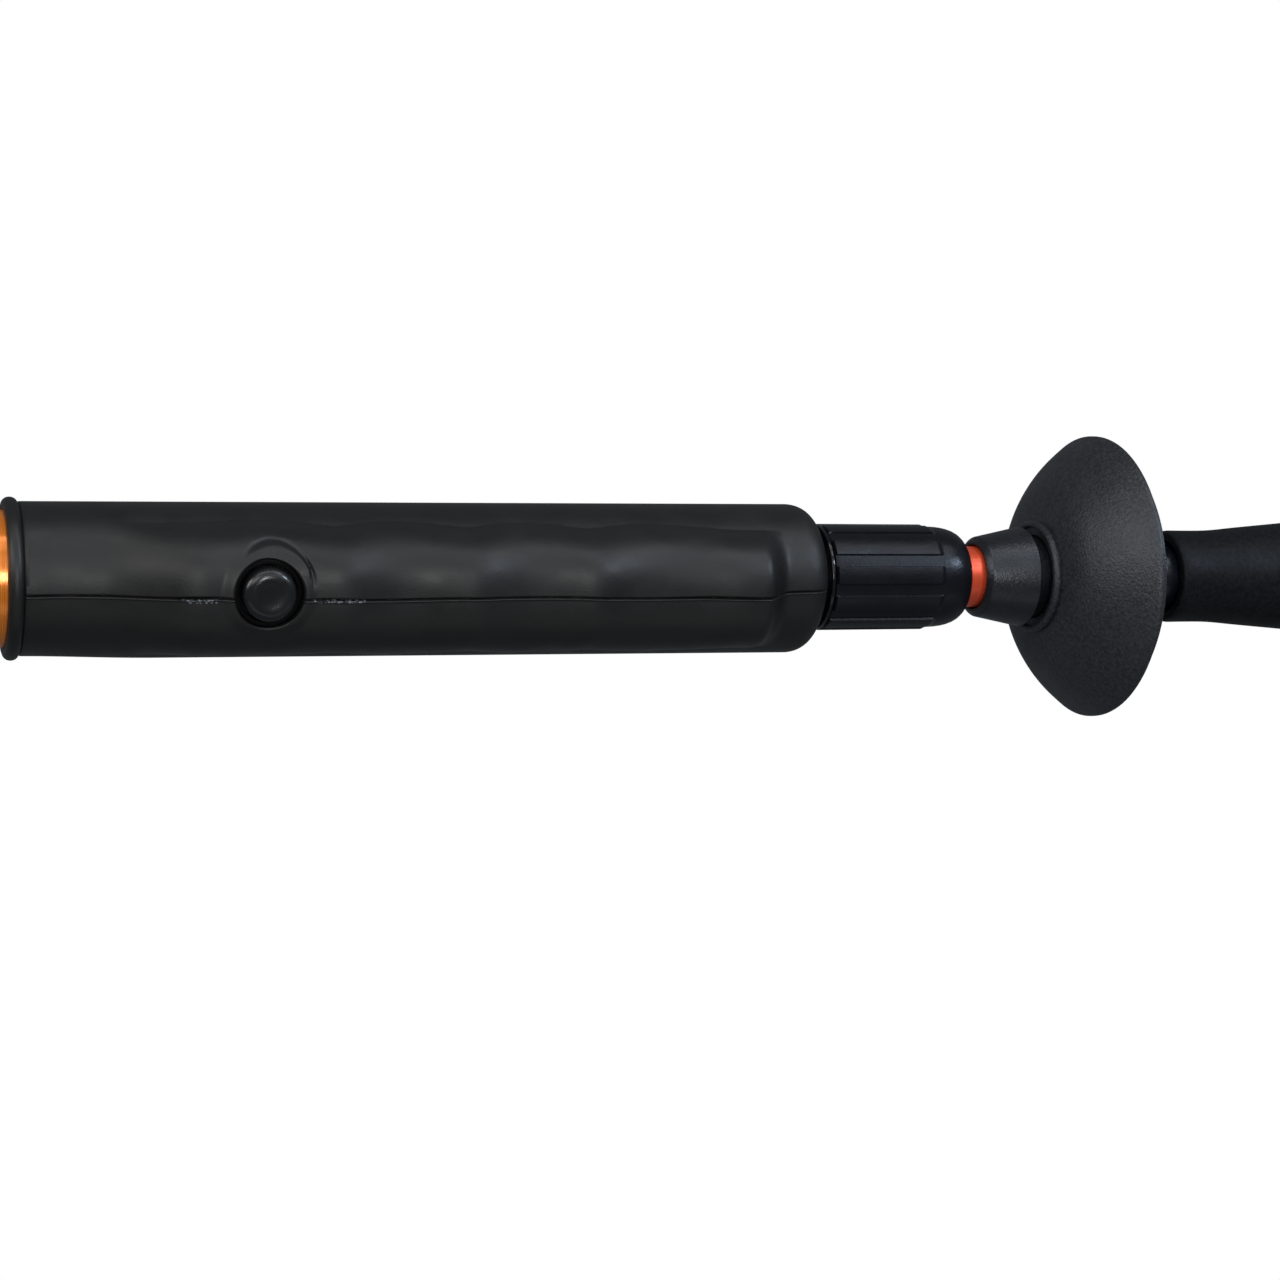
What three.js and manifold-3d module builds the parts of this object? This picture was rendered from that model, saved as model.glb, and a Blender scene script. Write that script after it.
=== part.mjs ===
// Telescoping pinpointer probe: a hand-held metal-detecting wand with a moulded rubber grip on an
// anodised barrel, a twist-lock sleeve, a sliding tube with a guard basket, and a capped sensing tip.
// Millimetres, +Z up. The wand lies along X with its tip at +X, and the finger pad faces -Y.
// The origin is on the barrel's axis, in the middle of the grip.
import * as THREE from "three";
import { mergeVertices } from "three/addons/utils/BufferGeometryUtils.js";
import Module from "manifold-3d";

const wasm = await Module();
wasm.setup();

// ---- driving dimensions -------------------------------------------------------------------
const GAP = 0.3;                 // clearance between pieces that touch
const ROUND = 24;                // sides of the outer turned pieces
const INNER_ROUND = 16;          // sides of the small inner pieces

const barrel = { back: -149.6, front: 68, radius: 11.9, bore: 10.7 };
const grip = {
  back: -75.7, front: 74.9, bore: barrel.radius + GAP, backRadius: 13.36, frontRadius: 14,
  beadRadius: 14.13, beadLength: 2.6, shoulder: 5, endRadius: 10.2, noseBore: 9.3, noseStart: 70.3,
};
const pad = {
  start: -58.5, full: -49.2, fall: 60.4, end: 66.6, height: 4.9, grooveDepth: 1.6,
  grooves: [-33, -8.5, 15, 39.5], grooveHalf: 11, fullAngle: 24, edgeAngle: 55,
};
const button = {
  x: -32.6, z: 0.8, radius: 4.35, top: 18.9, hole: 6.2, bezelTop: 15.4, sides: 24,
  stem: 1.6, stemEnd: 9, dish: 0.4, flangeLow: 13.5, flangeHigh: 14.6, flangeRadius: 5.2,
};
const tube = { radius: 6, bore: 5, back: -2.7, front: 141 };
const sleeve = {
  back: 76.8, panelEnd: 99, front: 106.8, panelRadius: 10.24, coreRadius: 9.84, bore: 8.9,
  noseBore: 6.4, boreEnd: 103.8, panels: 11, panelShare: 0.61, phase: 2.6,
};
const bush = { back: 58, flange: 68.3, flangeEnd: 70, front: 92, nose: 8.6, mouth: 84 };
const collarRing = { back: 75.7, front: 76.5, radius: 10.28 };
const ferrule = { mouth: 110.1, mouthRadius: 7.85, wide: 120.9, wideRadius: 9.7, spigot: 8, front: 146.6 };
const housing = { radius: 6.2, shoulder: 146.9, back: 131, front: 206, bore: 4.9 };
const basket = {
  back: 122.7, collar: 124.1, collarRadius: 11.14, rim: 136, rimRadius: 28.05,
  lip: 139, lipRadius: 25.3, wall: 1.2, hub: 139.4, hubRadius: 10.6,
};
const basketNut = { back: 139.8, flangeEnd: 144.3, front: 146.3, flangeRadius: 16.5, radius: 13 };
const boot = { mouth: 152.8, front: 212, mouthRadius: 9.06, endRadius: 12.6, bore: 6.5, mouthBore: 7.2 };
const cap = { end: -163, flange: -151.5, front: -143, radius: 12.4, floor: -160, bore: 9 };
const cell = { radius: 8.5, length: 34.5, terminal: 3, terminalHeight: 1.2 };
const board = { back: -77, front: -20, near: 2.4, far: 3.6, half: 9.5 };

// ---- materials ----------------------------------------------------------------------------
const finish = (color, roughness, metalness = 0) =>
  new THREE.MeshStandardMaterial({ color, roughness, metalness });
const gripRubber = finish(0x2c2c2d, 0.62);
const bootRubber = finish(0x26282b, 0.55);
const blackPlastic = finish(0x232428, 0.42);
const glossPlastic = finish(0x0e0e10, 0.15);
const basketPlastic = finish(0x36373b, 0.6);
const tipPlastic = finish(0x171c28, 0.35);
const barrelAnodised = finish(0xdd6a22, 0.25, 1);
const tubeAnodised = finish(0xd1492f, 0.32, 1);
const greyNylon = finish(0x8a8c8e, 0.5);
const boardGreen = finish(0x1c5a37, 0.5);
const chipBlack = finish(0x161616, 0.4);
const springSteel = finish(0xb8b8ba, 0.3, 1);
const nickel = finish(0xc9c6bd, 0.25, 1);
const cellWrap = finish(0x5c6167, 0.35);
const copper = finish(0xb8703c, 0.3, 1);
const ferrite = finish(0x2b2b2e, 0.7);
const felt = finish(0x4a4a48, 0.95);

// ---- shape helpers ------------------------------------------------------------------------
// One closed surface with merged vertices, no flat triangles, and its faces pointing out.
function closed(geometry) {
  const bare = geometry.clone();
  bare.deleteAttribute("normal");
  bare.deleteAttribute("uv");
  const merged = mergeVertices(bare, 1e-4);
  const index = merged.getIndex().array;
  const at = (i) => new THREE.Vector3().fromBufferAttribute(merged.getAttribute("position"), i);
  const kept = [];
  let volume = 0;
  for (let i = 0; i < index.length; i += 3) {
    const [a, b, c] = [index[i], index[i + 1], index[i + 2]];
    if (a === b || b === c || c === a) continue;
    kept.push(a, b, c);
    volume += at(a).dot(at(b).cross(at(c)));
  }
  if (volume < 0) {
    for (let i = 0; i < kept.length; i += 3) [kept[i + 1], kept[i + 2]] = [kept[i + 2], kept[i + 1]];
  }
  merged.setIndex(kept);
  merged.computeVertexNormals();
  return merged;
}

function toSolid(geometry) {
  const mesh = closed(geometry);
  const vertProperties = new Float32Array(mesh.getAttribute("position").array);
  const triVerts = new Uint32Array(mesh.getIndex().array);
  return new wasm.Manifold(new wasm.Mesh({ numProp: 3, vertProperties, triVerts }));
}

function toGeometry(solid) {
  const mesh = solid.getMesh();
  const geometry = new THREE.BufferGeometry();
  geometry.setAttribute("position", new THREE.BufferAttribute(new Float32Array(mesh.vertProperties), 3));
  geometry.setIndex(Array.from(mesh.triVerts));
  geometry.computeVertexNormals();
  return geometry;
}

const cut = (geometry, ...tools) =>
  toGeometry(tools.reduce((solid, tool) => solid.subtract(toSolid(tool)), toSolid(geometry)));
const join = (geometry, ...others) =>
  toGeometry(others.reduce((solid, other) => solid.add(toSolid(other)), toSolid(geometry)));

// A profile of [x, radius] points turned about the wand's axis.
function turned(profile, sides = ROUND) {
  const points = profile.map(([x, radius]) => new THREE.Vector2(radius, x));
  return closed(new THREE.LatheGeometry(points, sides).rotateZ(-Math.PI / 2));
}
const rod = (x0, x1, radius, sides = INNER_ROUND) =>
  turned([[x0, 0], [x0, radius], [x1, radius], [x1, 0]], sides);
const ring = (x0, x1, inner, outer, sides = INNER_ROUND) =>
  turned([[x0, inner], [x0, outer], [x1, outer], [x1, inner], [x0, inner]], sides);

// A profile of [height, radius] points turned about an axis that stands out of the finger pad:
// height is the distance from the wand's axis towards -Y.
function turnedOut(profile, x, z, sides = INNER_ROUND) {
  const points = profile.map(([height, radius]) => new THREE.Vector2(radius, -height));
  return closed(new THREE.LatheGeometry(points, sides).translate(x, 0, z));
}
const post = (low, high, radius, x, z, sides = INNER_ROUND) =>
  turnedOut([[low, 0], [low, radius], [high, radius], [high, 0]], x, z, sides);

// A shape drawn in Y and Z, extruded from x0 to x1.
function slab(shape, x0, x1, curveSegments = 4) {
  const geometry = new THREE.ExtrudeGeometry(shape, { depth: x1 - x0, bevelEnabled: false, curveSegments });
  const axes = new THREE.Matrix4().makeBasis(
    new THREE.Vector3(0, 1, 0), new THREE.Vector3(0, 0, 1), new THREE.Vector3(1, 0, 0));
  return closed(geometry.applyMatrix4(axes).translate(x0, 0, 0));
}
const block = (x0, x1, y0, y1, z0, z1) =>
  new THREE.BoxGeometry(x1 - x0, y1 - y0, z1 - z0)
    .translate((x0 + x1) / 2, (y0 + y1) / 2, (z0 + z1) / 2);

const smooth = (from, to, value) => THREE.MathUtils.smoothstep(value, from, to);

const wand = new THREE.Group();
wand.name = "pinpointer_probe";
function add(name, geometry, material) {
  const mesh = new THREE.Mesh(geometry, material);
  mesh.name = name;
  wand.add(mesh);
  return mesh;
}

// ---- grip ---------------------------------------------------------------------------------
// How far the finger pad stands out of the round grip, at a place and an angle from -Y.
function padHeight(x, angle) {
  const length = smooth(pad.start, pad.full, x) * (1 - smooth(pad.fall, pad.end, x));
  const around = 1 - smooth(pad.fullAngle, pad.edgeAngle, Math.abs(angle));
  const groove = pad.grooves.reduce((depth, centre) => {
    const reach = Math.abs(x - centre) / pad.grooveHalf;
    return depth + (reach < 1 ? pad.grooveDepth * (0.5 + 0.5 * Math.cos(Math.PI * reach)) : 0);
  }, 0);
  return length * around * (pad.height - groove);
}

function gripProfile() {
  const profile = [[grip.back, grip.bore]];
  const beadSteps = 6;
  const beadCentre = grip.back + grip.beadLength / 2;
  const beadHalf = grip.beadLength / 2;
  for (let i = 0; i <= beadSteps; i += 1) {
    const turn = Math.PI * (1 - i / beadSteps);
    const radius = grip.beadRadius - beadHalf * (1 - Math.sin(turn)) * 0.6;
    profile.push([beadCentre + beadHalf * Math.cos(turn), radius]);
  }
  const rings = 30;
  const shoulderStart = grip.front - grip.shoulder;
  const bodyStart = grip.back + grip.beadLength + 0.4;
  for (let i = 0; i <= rings; i += 1) {
    const share = i / rings;
    profile.push([
      THREE.MathUtils.lerp(bodyStart, shoulderStart, share),
      THREE.MathUtils.lerp(grip.backRadius, grip.frontRadius, share),
    ]);
  }
  const shoulderSteps = 4;
  const drop = grip.frontRadius - grip.endRadius;
  for (let i = 1; i <= shoulderSteps; i += 1) {
    const turn = (Math.PI / 2) * (i / shoulderSteps);
    profile.push([shoulderStart + grip.shoulder * Math.sin(turn), grip.endRadius + drop * Math.cos(turn)]);
  }
  profile.push([grip.front, grip.noseBore], [grip.noseStart, grip.noseBore]);
  profile.push([grip.noseStart, grip.bore], [grip.back, grip.bore]);
  return profile;
}

function gripGeometry() {
  const geometry = turned(gripProfile(), 30);
  const position = geometry.getAttribute("position");
  for (let i = 0; i < position.count; i += 1) {
    const [x, y, z] = [position.getX(i), position.getY(i), position.getZ(i)];
    const radius = Math.hypot(y, z);
    if (radius < grip.bore + 0.1) continue;
    const stretch = 1 + padHeight(x, THREE.MathUtils.radToDeg(Math.atan2(z, -y))) / radius;
    position.setXYZ(i, x, y * stretch, z * stretch);
  }
  const buttonHole = post(grip.bore - 3, grip.bore + 12, button.hole, button.x, button.z, 24);
  return cut(geometry, buttonHole);
}

function addGrip() {
  const stemHole = 3;
  const wall = ring(barrel.back, barrel.front, barrel.bore, barrel.radius, ROUND);
  add("rubber_grip", gripGeometry(), gripRubber);
  add("barrel", cut(wall, post(0, grip.bore, stemHole, button.x, button.z)), barrelAnodised);
}

// ---- push-button and its switch -------------------------------------------------------------
function addButton() {
  const { radius, top, x, z, sides, dish, stem, stemEnd, flangeLow, flangeHigh, flangeRadius } = button;
  add("button_cap", turnedOut([
    [stemEnd, 0], [stemEnd, stem], [flangeLow, stem], [flangeLow, flangeRadius],
    [flangeHigh, flangeRadius], [flangeHigh, radius], [top - 1.1, radius], [top - 0.4, radius - 0.4],
    [top, radius - 1.2], [top - dish, radius - 2.2], [top - dish, 0],
  ], x, z, sides), gripRubber);
  const bezelInner = radius + GAP;
  const bezelOuter = button.hole - GAP;
  const bezelLow = flangeHigh + GAP;
  add("button_bezel", turnedOut([
    [bezelLow, bezelInner], [bezelLow, bezelOuter], [button.bezelTop, bezelOuter],
    [button.bezelTop, bezelInner], [bezelLow, bezelInner],
  ], x, z, sides), glossPlastic);

  const switchTop = 7.4;
  const half = 3;
  const body = block(x - half, x + half, -switchTop, -board.far - GAP, z - half, z + half);
  add("switch_plunger", post(switchTop + GAP, stemEnd - GAP, 1.5, x, z), chipBlack);
  add("tact_switch", cut(body, post(switchTop - 1.6, switchTop + 1, 1.8, x, z)), springSteel);
}

// ---- electronics on a chassis inside the barrel ----------------------------------------------
const screwPlaces = [-72, -24];
function addElectronics() {
  const outer = barrel.bore - GAP;
  const back = board.back - 2.5;
  const front = board.front + 3;
  const disc = 1.5;
  const leadHole = 1.6;
  const screwHole = 1.2;
  const boss = { far: -9.4, radius: 2.2 };
  const screw = { tip: -4, shank: 0.9, radius: 2, side: 0.9, height: 1.3, crown: 1.2 };
  const chip = { back: -50, front: -43, top: 5, half: 3.5 };
  const sounder = { x: -61.5, top: 7.2, radius: 4.5, hole: 1, holeDepth: 1 };
  const shell = cut(ring(back, front, 8.9, outer, ROUND),
    block(back - 1, front + 1, -outer - 1, -board.near + GAP, -outer - 1, outer + 1));
  const bosses = screwPlaces.map((x) => post(boss.far, board.near - GAP, boss.radius, x, 0));
  const ends = [rod(back, back + disc, outer, ROUND), ring(front - disc, front, leadHole, outer, ROUND)];
  const holes = screwPlaces.map((x) => post(-5, board.near, screwHole, x, 0));
  add("electronics_chassis", cut(join(shell, ...bosses, ...ends), ...holes), greyNylon);

  const plate = block(board.back, board.front, -board.far, -board.near, -board.half, board.half);
  const boardHoles = screwPlaces.map((x) => post(board.near - 1, board.far + 1, screwHole, x, 0));
  add("circuit_board", cut(plate, ...boardHoles), boardGreen);
  screwPlaces.forEach((x, i) => {
    const head = board.far + GAP;
    add(`board_screw_${i + 1}`, turnedOut([
      [screw.tip, 0], [screw.tip, screw.shank], [head, screw.shank], [head, screw.radius],
      [head + screw.side, screw.radius], [head + screw.height, screw.crown], [head + screw.height, 0],
    ], x, 0, 16), springSteel);
  });
  add("processor_chip", block(chip.back, chip.front, -chip.top, -board.far - GAP, -chip.half, chip.half),
    chipBlack);
  add("buzzer", turnedOut([
    [board.far + GAP, 0], [board.far + GAP, sounder.radius], [sounder.top, sounder.radius],
    [sounder.top, sounder.hole], [sounder.top - sounder.holeDepth, sounder.hole],
    [sounder.top - sounder.holeDepth, 0],
  ], sounder.x, 0), chipBlack);

  const motorAxis = 2;
  const motor = { back: -64, front: -54, radius: 3 };
  const weight = { back: -52.4, front: -49, radius: 2.7 };
  const shaft = 0.5;
  add("vibration_motor", ring(motor.back, motor.front, shaft + GAP, motor.radius)
    .translate(0, motorAxis, 0), springSteel);
  const halfDisc = new THREE.Shape().absarc(0, 0, weight.radius, -Math.PI / 2, Math.PI / 2, false);
  add("eccentric_weight", join(slab(halfDisc, weight.back, weight.front, 8),
    rod(motor.back + 1, weight.front, shaft, 8)).translate(0, motorAxis, 0), nickel);
}

// ---- battery column ---------------------------------------------------------------------------
function addBatteries() {
  const chassisBack = board.back - 2.5;
  const contact = { thickness: 0.5, radius: 5 };
  const contactFront = chassisBack - GAP;
  const contactBack = contactFront - contact.thickness;
  add("battery_contact", rod(contactBack, contactFront, contact.radius), nickel);
  for (let i = 0; i < 2; i += 1) {
    const front = contactBack - GAP - i * (cell.length + GAP);
    const shoulder = front - cell.terminalHeight;
    const back = front - cell.length;
    add(`battery_cell_${i + 1}`, turned([
      [back, 0], [back, cell.radius - 0.6], [back + 0.6, cell.radius], [shoulder - 0.6, cell.radius],
      [shoulder, cell.radius - 0.6], [shoulder, cell.terminal], [front, cell.terminal], [front, 0],
    ], INNER_ROUND), cellWrap);
  }
  add("battery_liner", ring(cap.front + GAP, contactBack, cell.radius + GAP, barrel.bore - GAP, ROUND),
    greyNylon);
}

// ---- tail cap with its seal and spring --------------------------------------------------------
function addTailCap() {
  const spigot = barrel.bore - GAP;
  const neck = { back: -150, front: -149, radius: 10.2 };
  const flutes = [];
  const fluteCount = 12;
  const flute = { radius: 1.6, centre: 13.4 };
  for (let i = 0; i < fluteCount; i += 1) {
    const turn = (2 * Math.PI * i) / fluteCount;
    flutes.push(rod(cap.end + 2.4, cap.flange + 1, flute.radius, 8)
      .translate(0, flute.centre * Math.cos(turn), flute.centre * Math.sin(turn)));
  }
  const body = turned([
    [cap.end, 0], [cap.end, cap.radius - 1.4], [cap.end + 1.4, cap.radius], [cap.flange, cap.radius],
    [cap.flange, neck.radius], [neck.back, neck.radius], [neck.front, spigot], [cap.front, spigot],
    [cap.front, cap.bore], [cap.floor, cap.bore], [cap.floor, 0],
  ]);
  add("tail_cap", cut(body, ...flutes), blackPlastic);

  const seal = { section: 0.65, radius: 11.2, x: (cap.flange + barrel.back) / 2 };
  const sealProfile = [];
  const sealSides = 6;
  for (let i = 0; i <= sealSides; i += 1) {
    const turn = (2 * Math.PI * i) / sealSides;
    sealProfile.push([seal.x + seal.section * Math.cos(turn), seal.radius + seal.section * Math.sin(turn)]);
  }
  add("cap_seal", turned(sealProfile), glossPlastic);

  const plateFront = cap.floor + GAP + 0.5;
  add("cap_contact", rod(cap.floor + GAP, plateFront, 8.4), nickel);
  const wire = 0.45;
  const coil = { back: plateFront + GAP + wire, front: -150.9, wide: 6, narrow: 4, turns: 4, steps: 40 };
  const route = [];
  for (let i = 0; i <= coil.steps; i += 1) {
    const share = i / coil.steps;
    const turn = 2 * Math.PI * coil.turns * share;
    const radius = THREE.MathUtils.lerp(coil.wide, coil.narrow, share);
    route.push(new THREE.Vector3(THREE.MathUtils.lerp(coil.back, coil.front, share),
      radius * Math.cos(turn), radius * Math.sin(turn)));
  }
  const section = new THREE.Shape().absarc(0, 0, wire, 0, 2 * Math.PI, false);
  add("cap_spring", closed(new THREE.ExtrudeGeometry(section, {
    steps: coil.steps, extrudePath: new THREE.CatmullRomCurve3(route), curveSegments: 3,
  })), springSteel);
}

// ---- front bush, twist-lock sleeve and collet ---------------------------------------------------
function ribbedOutline() {
  const outline = new THREE.Shape();
  const pitch = (2 * Math.PI) / sleeve.panels;
  const width = pitch * sleeve.panelShare;
  const point = (radius, turn) => [radius * Math.cos(turn), radius * Math.sin(turn)];
  outline.moveTo(...point(sleeve.panelRadius, -width / 2));
  for (let i = 0; i < sleeve.panels; i += 1) {
    const centre = i * pitch;
    outline.lineTo(...point(sleeve.panelRadius, centre));
    outline.lineTo(...point(sleeve.panelRadius, centre + width / 2));
    outline.lineTo(...point(sleeve.coreRadius, centre + width / 2));
    outline.lineTo(...point(sleeve.coreRadius, centre + pitch - width / 2));
    if (i < sleeve.panels - 1) outline.lineTo(...point(sleeve.panelRadius, centre + pitch - width / 2));
  }
  outline.closePath();
  return outline;
}

function addTwistLock() {
  const tubeClear = tube.radius + GAP;
  const mouthBack = 6.9;
  const mouthFront = 8.2;
  add("front_bush", turned([
    [bush.back, tubeClear], [bush.back, barrel.bore - GAP], [bush.flange, barrel.bore - GAP],
    [bush.flange, barrel.radius], [bush.flangeEnd, barrel.radius], [bush.flangeEnd, bush.nose],
    [bush.front, bush.nose], [bush.front, mouthFront], [bush.mouth, mouthBack], [bush.mouth, tubeClear],
    [bush.back, tubeClear],
  ]), blackPlastic);
  add("collar_ring", ring(collarRing.back, collarRing.front, sleeve.bore, collarRing.radius, ROUND),
    glossPlastic);

  const phase = THREE.MathUtils.degToRad(sleeve.phase);
  const ribs = cut(slab(ribbedOutline(), sleeve.back, sleeve.panelEnd).rotateX(phase),
    rod(sleeve.back - 1, sleeve.panelEnd + 1, sleeve.bore, ROUND));
  const nose = turned([
    [sleeve.panelEnd - 0.5, sleeve.bore], [sleeve.panelEnd - 0.5, sleeve.coreRadius - 0.05],
    [101.6, 9.7], [103.7, 9.3], [105.4, 8.55], [106.4, 7.5], [sleeve.front, 6.8],
    [sleeve.front, sleeve.noseBore], [sleeve.boreEnd, sleeve.noseBore], [sleeve.boreEnd, sleeve.bore],
    [sleeve.panelEnd - 0.5, sleeve.bore],
  ]);
  add("lock_sleeve", join(ribs, nose), blackPlastic);

  const slope = (mouthFront - mouthBack) / (bush.front - bush.mouth);
  const coneAt = (x) => mouthBack + slope * (x - bush.mouth) - GAP - 0.05;
  const cone = { back: 85, front: 91.7 };
  const collar = { back: 92.4, front: 100.5, radius: 8.5 };
  const collet = turned([
    [cone.back, tubeClear], [cone.back, coneAt(cone.back)], [cone.front, coneAt(cone.front)],
    [collar.back, collar.radius], [collar.front, collar.radius], [collar.front, tubeClear],
    [cone.back, tubeClear],
  ]);
  const slit = 1.2;
  const splits = [block(cone.back - 1, collar.front + 1, 0, 12, -slit / 2, slit / 2)];
  for (let i = 1; i < 4; i += 1) {
    splits.push(block(cone.back - 1, collar.back + 2, 0, 12, -slit / 2, slit / 2).rotateX((Math.PI / 2) * i));
  }
  add("split_collet", cut(collet, ...splits), greyNylon);
  const wiper = ring(collar.front + GAP, sleeve.boreEnd - GAP, tubeClear, sleeve.bore - GAP, ROUND);
  add("tube_wiper", wiper, felt);
}

// ---- sliding tube, ferrule and sensing tip ------------------------------------------------------
function addTube() {
  const leadRadius = 1.2;
  const leadHole = 1.6;
  const plug = tube.bore - GAP;
  const stopperBack = -9;
  const clearTube = tube.radius + GAP;
  add("lower_tube", ring(tube.back, tube.front, tube.bore, tube.radius, ROUND), tubeAnodised);
  add("tube_stopper", turned([
    [stopperBack, leadHole], [stopperBack, barrel.bore - GAP], [tube.back - GAP, barrel.bore - GAP],
    [tube.back - GAP, plug], [tube.back + 10, plug], [tube.back + 10, leadHole], [stopperBack, leadHole],
  ]), greyNylon);
  add("tip_ferrule", turned([
    [ferrule.mouth + 0.6, clearTube], [ferrule.mouth, clearTube + 0.5],
    [ferrule.mouth, ferrule.mouthRadius - 0.3], [ferrule.mouth + 0.4, ferrule.mouthRadius],
    [ferrule.wide, ferrule.wideRadius],
    [ferrule.wide, ferrule.spigot], [ferrule.front, ferrule.spigot], [ferrule.front, clearTube],
    [ferrule.mouth + 0.6, clearTube],
  ]), basketPlastic);

  const shaftRadius = tube.radius;
  const end = housing.front;
  add("probe_housing", turned([
    [housing.back, leadHole], [housing.back, plug], [tube.front + GAP, plug], [tube.front + GAP, shaftRadius],
    [housing.shoulder, shaftRadius], [housing.shoulder, housing.radius], [end - 4, housing.radius],
    [end - 1.2, 5], [end, 2.6], [end, 0], [end - 3, 0], [end - 3, 3.4], [end - 5, housing.bore],
    [housing.shoulder + 1, housing.bore], [housing.shoulder + 1, leadHole], [housing.back, leadHole],
  ]), tipPlastic);
  const ferriteRod = { back: 151, front: 199, radius: 2.4 };
  const bobbin = { back: 152, front: 197.2, bore: 2.7, core: 3.3, flange: 4.5, cheek: 1.2 };
  const windingRadius = 4.3;
  const coil = { back: -16.5, front: -9.5, bore: 3, radius: 4.6 };
  add("ferrite_rod", rod(ferriteRod.back, ferriteRod.front, ferriteRod.radius), ferrite);
  const cheekBack = bobbin.back + bobbin.cheek;
  const cheekFront = bobbin.front - bobbin.cheek;
  add("coil_bobbin", turned([
    [bobbin.back, bobbin.bore], [bobbin.back, bobbin.flange], [cheekBack, bobbin.flange],
    [cheekBack, bobbin.core], [cheekFront, bobbin.core], [cheekFront, bobbin.flange],
    [bobbin.front, bobbin.flange], [bobbin.front, bobbin.bore], [bobbin.back, bobbin.bore],
  ], INNER_ROUND), greyNylon);
  add("coil_winding", ring(cheekBack + GAP, cheekFront - GAP, bobbin.core + GAP, windingRadius), copper);
  add("tip_lead", rod(stopperBack - 0.2, ferriteRod.back - GAP, leadRadius, 10), glossPlastic);
  add("coiled_lead", ring(coil.back, coil.front, coil.bore, coil.radius, 16), glossPlastic);
}

// ---- guard basket and its nut ---------------------------------------------------------------------
function addBasket() {
  const hubBore = ferrule.spigot + GAP;
  const dome = [
    [basket.collar, 11.1], [124.9, 14], [125.9, 17], [127.6, 20], [129.6, 22.5], [131.5, 24.5],
    [133.4, 26.2], [135.1, 27.4], [basket.rim, basket.rimRadius],
  ];
  const lip = [
    [basket.rim + 0.9, basket.rimRadius - 0.1], [basket.rim + 1, basket.lipRadius],
    [basket.lip, basket.lipRadius], [basket.lip, basket.lipRadius - basket.wall],
    [135.2, basket.lipRadius - basket.wall],
  ];
  const inside = [
    [133.1, 23.2], [131.1, 21.2], [129.2, 18.9], [127.8, 16.4], [126.9, 13.6],
    [basket.collar + 1.7, basket.hubRadius],
  ];
  const recess = 9.9;
  add("basket", turned([
    [basket.back, recess], [basket.back, 10.6], [basket.back + 0.3, basket.collarRadius],
    ...dome, ...lip, ...inside, [basket.hub, basket.hubRadius], [basket.hub, hubBore],
    [basket.back + 0.9, hubBore], [basket.back + 0.9, recess], [basket.back, recess],
  ], 32), basketPlastic);
  const disc = turned([
    [basketNut.back, hubBore], [basketNut.back, basketNut.flangeRadius - 0.8],
    [basketNut.back + 1.2, basketNut.flangeRadius], [basketNut.flangeEnd - 0.4, basketNut.flangeRadius],
    [basketNut.flangeEnd, basketNut.flangeRadius - 0.4], [basketNut.flangeEnd, basketNut.radius],
    [basketNut.front, basketNut.radius - 0.5], [basketNut.front, hubBore], [basketNut.back, hubBore],
  ]);
  const notches = [];
  const notchCount = 6;
  for (let i = 0; i < notchCount; i += 1) {
    const turn = (2 * Math.PI * (i + 0.5)) / notchCount;
    const reach = basketNut.flangeRadius + 1.4;
    notches.push(rod(basketNut.back - 1, basketNut.front + 1, 2.4, 10)
      .translate(0, reach * Math.cos(turn), reach * Math.sin(turn)));
  }
  add("basket_nut", cut(disc, ...notches), blackPlastic);
}

// ---- rubber boot over the tip -----------------------------------------------------------------------
function addBoot() {
  const end = boot.front;
  add("rubber_boot", turned([
    [boot.mouth, boot.mouthBore], [boot.mouth, boot.mouthRadius - 0.4], [boot.mouth + 0.5, boot.mouthRadius],
    [154.4, 9.25], [163, 9.38], [168.4, 9.78], [173, 10.22], [181, 10.9], [191, 11.9], [200, boot.endRadius],
    [end - 4, boot.endRadius], [end - 1.4, 11.8], [end, 10.4], [end, 0], [207, 0], [207, boot.bore],
    [162, boot.bore], [160, boot.mouthBore], [boot.mouth, boot.mouthBore],
  ]), bootRubber);
}

addGrip();
addButton();
addElectronics();
addBatteries();
addTailCap();
addTwistLock();
addTube();
addBasket();
addBoot();

export default wand;
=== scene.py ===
"""Looks for the telescoping pinpointer probe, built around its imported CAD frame. Blender works in metres; the
profiles below are in millimetres, and make_piece turns them into metres. +X is the tip, -Y the finger pad."""

import math

import bmesh
import bpy
import numpy as np
from mathutils import Matrix, Vector


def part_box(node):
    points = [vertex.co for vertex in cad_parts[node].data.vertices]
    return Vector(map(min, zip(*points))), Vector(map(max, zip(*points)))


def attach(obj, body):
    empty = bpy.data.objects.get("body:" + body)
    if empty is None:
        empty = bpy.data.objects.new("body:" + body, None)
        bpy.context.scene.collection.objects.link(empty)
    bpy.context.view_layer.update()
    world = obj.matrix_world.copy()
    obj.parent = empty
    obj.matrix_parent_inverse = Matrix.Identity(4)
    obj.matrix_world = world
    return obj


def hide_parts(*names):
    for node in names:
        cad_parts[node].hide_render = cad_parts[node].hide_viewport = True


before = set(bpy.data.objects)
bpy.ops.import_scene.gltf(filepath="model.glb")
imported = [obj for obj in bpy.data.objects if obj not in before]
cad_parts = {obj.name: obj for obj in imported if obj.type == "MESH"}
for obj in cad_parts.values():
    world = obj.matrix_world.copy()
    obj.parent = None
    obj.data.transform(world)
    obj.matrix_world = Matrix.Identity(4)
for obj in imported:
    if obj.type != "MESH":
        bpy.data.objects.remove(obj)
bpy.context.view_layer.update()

MM = 0.001
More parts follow.
